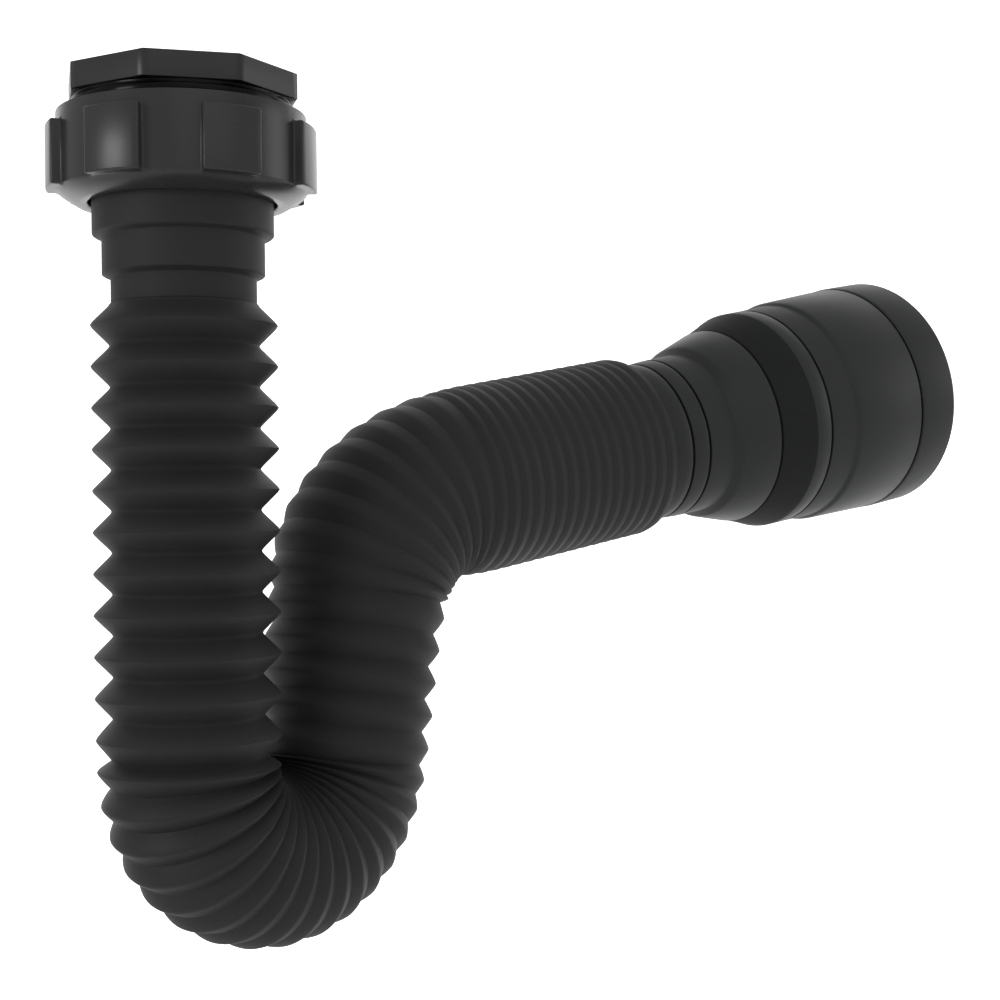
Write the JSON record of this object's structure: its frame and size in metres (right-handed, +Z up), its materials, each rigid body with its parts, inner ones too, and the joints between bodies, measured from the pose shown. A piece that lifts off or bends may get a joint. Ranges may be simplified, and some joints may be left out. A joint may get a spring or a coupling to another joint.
{
  "type": "flexible p trap",
  "caption": "Flexible accordion P trap: threaded inlet adapter, coupling nut, corrugated tube with U bend and elbow, and stepped outlet sleeve.",
  "frame": {"origin": "on the inlet axis, at the top face of the inlet adapter, where the basin waste screws in", "axes": "+Z up along the inlet axis, +X the plan direction in which the outlet arm leaves"},
  "size_m": [0.2735, 0.0826, 0.2013],
  "materials": {
    "tube_plastic": "matte blow-moulded black polypropylene",
    "adapter_plastic": "satin injection-moulded dark grey polypropylene",
    "nut_plastic": "semi-gloss injection-moulded dark grey polypropylene",
    "sleeve_rubber": "satin moulded dark grey flexible sleeve",
    "seal_rubber": "matte black rubber",
    "ring_plastic": "hard black nylon"
  },
  "bodies": {
    "adapter": {"inlet_adapter": "adapter_plastic", "inlet_gasket": "seal_rubber"},
    "union_ring": {"slip_ring": "ring_plastic"},
    "nut": {"coupling_nut": "nut_plastic"},
    "tube_inlet": {"inlet_cuff": "tube_plastic", "sealing_washer": "seal_rubber"},
    "leg_1": {"leg_folds_1": "tube_plastic"},
    "leg_2": {"leg_folds_2": "tube_plastic"},
    "leg_3": {"leg_folds_3": "tube_plastic"},
    "bend_1": {"bend_folds_1": "tube_plastic"},
    "bend_2": {"bend_folds_2": "tube_plastic"},
    "bend_3": {"bend_folds_3": "tube_plastic"},
    "bend_4": {"bend_folds_4": "tube_plastic"},
    "riser": {"riser_folds": "tube_plastic"},
    "elbow_1": {"elbow_folds_1": "tube_plastic"},
    "elbow_2": {"elbow_folds_2": "tube_plastic"},
    "arm_1": {"arm_folds_1": "tube_plastic"},
    "arm_2": {"arm_folds_2": "tube_plastic"},
    "arm_3": {"arm_folds_3": "tube_plastic"},
    "arm_4": {"arm_folds_4": "tube_plastic"},
    "tube_outlet": {"outlet_cuff": "tube_plastic"},
    "seal": {"outlet_seal": "seal_rubber"},
    "sleeve": {"outlet_sleeve": "sleeve_rubber"}
  },
  "joints": [
    {"name": "nut_travel", "type": "slide", "parent": "adapter", "child": "union_ring", "axis": [0, 0, 1], "range_m": [-0.00693, 0]},
    {"name": "nut_turn", "type": "hinge", "parent": "union_ring", "child": "nut", "pos_m": [0, 0, -0.018], "axis": [0, 0, 1], "range_deg": [-1080, 0]},
    {"name": "tube_swivel", "type": "hinge", "parent": "union_ring", "child": "tube_inlet", "pos_m": [0, 0, -0.0235], "axis": [0, 0, 1], "continuous": true},
    {"name": "leg_stretch_1", "type": "slide", "parent": "tube_inlet", "child": "leg_1", "axis": [0, 0, -1], "range_m": [-0.0055, 0.003], "deforming": ["leg_folds_1"]},
    {"name": "leg_stretch_2", "type": "slide", "parent": "leg_1", "child": "leg_2", "axis": [0, 0, -1], "range_m": [-0.011, 0.006], "deforming": ["leg_folds_2"]},
    {"name": "leg_stretch_3", "type": "slide", "parent": "leg_2", "child": "leg_3", "axis": [0, 0, -1], "range_m": [-0.011, 0.006], "deforming": ["leg_folds_3"]},
    {"name": "bend_open_1", "type": "hinge", "parent": "leg_3", "child": "bend_1", "pos_m": [-0.01591, -0.00508, -0.1534], "axis": [-0.304, 0.9527, 0], "range_deg": [0, 18]},
    {"name": "bend_open_2", "type": "hinge", "parent": "bend_1", "child": "bend_2", "pos_m": [-0.00718, -0.00229, -0.18158], "axis": [-0.304, 0.9527, 0], "range_deg": [0, 18]},
    {"name": "bend_open_3", "type": "hinge", "parent": "bend_2", "child": "bend_3", "pos_m": [0.01862, 0.00594, -0.19668], "axis": [-0.304, 0.9527, 0], "range_deg": [0, 18]},
    {"name": "bend_open_4", "type": "hinge", "parent": "bend_3", "child": "bend_4", "pos_m": [0.04717, 0.01505, -0.18874], "axis": [-0.304, 0.9527, 0], "range_deg": [0, 18]},
    {"name": "bend_open_5", "type": "hinge", "parent": "bend_4", "child": "riser", "pos_m": [0.06246, 0.01993, -0.16222], "axis": [-0.304, 0.9527, 0], "range_deg": [0, 18]},
    {"name": "elbow_open_1", "type": "hinge", "parent": "riser", "child": "elbow_1", "pos_m": [0.03647, 0.01719, -0.11674], "axis": [-0.0092, -0.9987, 0.0506], "range_deg": [0, 16]},
    {"name": "elbow_open_2", "type": "hinge", "parent": "elbow_1", "child": "elbow_2", "pos_m": [0.04998, 0.01843, -0.08967], "axis": [-0.0092, -0.9987, 0.0506], "range_deg": [0, 16]},
    {"name": "elbow_open_3", "type": "hinge", "parent": "elbow_2", "child": "arm_1", "pos_m": [0.07671, 0.01891, -0.07544], "axis": [-0.0092, -0.9987, 0.0506], "range_deg": [0, 16]},
    {"name": "arm_stretch_1", "type": "slide", "parent": "arm_1", "child": "arm_2", "axis": [0.9839, 0, 0.1788], "range_m": [0, 0.022]},
    {"name": "arm_stretch_2", "type": "slide", "parent": "arm_2", "child": "arm_3", "axis": [0.9839, 0, 0.1788], "range_m": [0, 0.022]},
    {"name": "arm_stretch_3", "type": "slide", "parent": "arm_3", "child": "arm_4", "axis": [0.9839, 0, 0.1788], "range_m": [0, 0.022]},
    {"name": "arm_stretch_4", "type": "slide", "parent": "arm_4", "child": "tube_outlet", "axis": [0.9839, 0, 0.1788], "range_m": [0, 0.011]},
    {"name": "sleeve_pull", "type": "slide", "parent": "tube_outlet", "child": "seal", "axis": [0.9839, 0, 0.1788], "range_m": [0, 0.03]},
    {"name": "sleeve_turn", "type": "hinge", "parent": "seal", "child": "sleeve", "pos_m": [0.19205, 0.01805, -0.07143], "axis": [0.9839, 0, 0.1788], "continuous": true}
  ],
  "couplings": [
    {"joint": "nut_turn", "follows": "nut_travel", "rad_per_m": 2721.2},
    {"joint": "leg_stretch_2", "follows": "leg_stretch_1", "ratio": 2},
    {"joint": "leg_stretch_3", "follows": "leg_stretch_1", "ratio": 2},
    {"joint": "bend_open_2", "follows": "bend_open_1", "ratio": 1},
    {"joint": "bend_open_3", "follows": "bend_open_1", "ratio": 1},
    {"joint": "bend_open_4", "follows": "bend_open_1", "ratio": 1},
    {"joint": "bend_open_5", "follows": "bend_open_1", "ratio": 1},
    {"joint": "elbow_open_2", "follows": "elbow_open_1", "ratio": 1},
    {"joint": "elbow_open_3", "follows": "elbow_open_1", "ratio": 1},
    {"joint": "arm_stretch_2", "follows": "arm_stretch_1", "ratio": 1},
    {"joint": "arm_stretch_3", "follows": "arm_stretch_1", "ratio": 1},
    {"joint": "arm_stretch_4", "follows": "arm_stretch_1", "ratio": 0.5}
  ]
}
